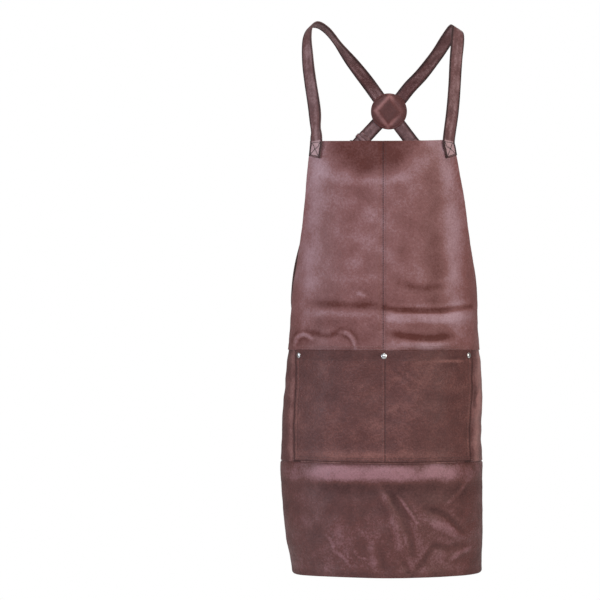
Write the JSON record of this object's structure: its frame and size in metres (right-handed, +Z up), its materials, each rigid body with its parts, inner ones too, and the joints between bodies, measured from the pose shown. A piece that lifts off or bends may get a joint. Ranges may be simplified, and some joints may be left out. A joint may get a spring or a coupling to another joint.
{
  "type": "welding apron",
  "caption": "Leather cross-back welding apron with a seamed bib, a divided front pocket with riveted mouth, and shoulder straps that cross in a disc at the back and buckle to waist straps.",
  "frame": {"origin": "midway between the crests of the shoulder straps, where they lie on the wearer's shoulders", "axes": "+Z up; the front of the apron faces -Y; +X is to the right of a person looking at the front"},
  "size_m": [0.408, 0.2561, 1.1054],
  "materials": {
    "bib": "semi-gloss pebbled hide",
    "waist": "semi-gloss pebbled hide",
    "skirt": "semi-gloss pebbled hide",
    "pocket": "semi-gloss pebbled hide",
    "rivet": "polished nickel",
    "strap": "semi-gloss hide",
    "lining": "matt flesh side",
    "disc": "glossy hide",
    "buckle": "dark gunmetal"
  },
  "bodies": {
    "apron": {"bib_panel_left": "bib", "bib_panel_right": "bib", "waist_panel": "waist", "skirt_panel": "skirt", "pocket_panel": "pocket", "pocket_hem_left": "pocket", "pocket_hem_right": "pocket", "rivet_cap_left": "rivet", "rivet_cap_centre": "rivet", "rivet_cap_right": "rivet", "rivet_back_left": "rivet", "rivet_back_centre": "rivet", "rivet_back_right": "rivet", "bib_corner_patch_left": "bib", "bib_corner_patch_right": "bib", "shoulder_strap_left": "strap", "shoulder_strap_right": "strap", "strap_lining_left": "lining", "strap_lining_right": "lining", "crossing_disc_inner": "disc", "crossing_disc_outer": "disc", "waist_strap_left": "strap", "waist_strap_right": "strap", "waist_patch_left": "bib", "waist_patch_right": "bib"},
    "buckle_left": {"buckle_frame_left": "buckle"},
    "prong_left": {"buckle_prong_left": "buckle"},
    "keeper_left": {"strap_keeper_left": "strap"},
    "buckle_right": {"buckle_frame_right": "buckle"},
    "prong_right": {"buckle_prong_right": "buckle"},
    "keeper_right": {"strap_keeper_right": "strap"}
  },
  "joints": [
    {"name": "buckle_left_swing", "type": "hinge", "parent": "apron", "child": "buckle_left", "pos_m": [-0.05547, 0.236, -0.23421], "axis": [0.7314, 0, -0.682], "range_deg": [0, 8]},
    {"name": "prong_left_lift", "type": "hinge", "parent": "buckle_left", "child": "prong_left", "pos_m": [-0.05547, 0.236, -0.23421], "axis": [0.7314, 0, -0.682], "range_deg": [0, 12]},
    {"name": "keeper_left_slide", "type": "slide", "parent": "apron", "child": "keeper_left", "axis": [-0.682, 0, -0.7314], "range_m": [-0.0045, 0.0045]},
    {"name": "buckle_right_swing", "type": "hinge", "parent": "apron", "child": "buckle_right", "pos_m": [0.07379, 0.2325, -0.24866], "axis": [0.7986, 0, 0.6018], "range_deg": [0, 8]},
    {"name": "prong_right_lift", "type": "hinge", "parent": "buckle_right", "child": "prong_right", "pos_m": [0.07379, 0.2325, -0.24866], "axis": [0.7986, 0, 0.6018], "range_deg": [0, 12]},
    {"name": "keeper_right_slide", "type": "slide", "parent": "apron", "child": "keeper_right", "axis": [0.6018, 0, -0.7986], "range_m": [-0.0045, 0.0045]}
  ]
}
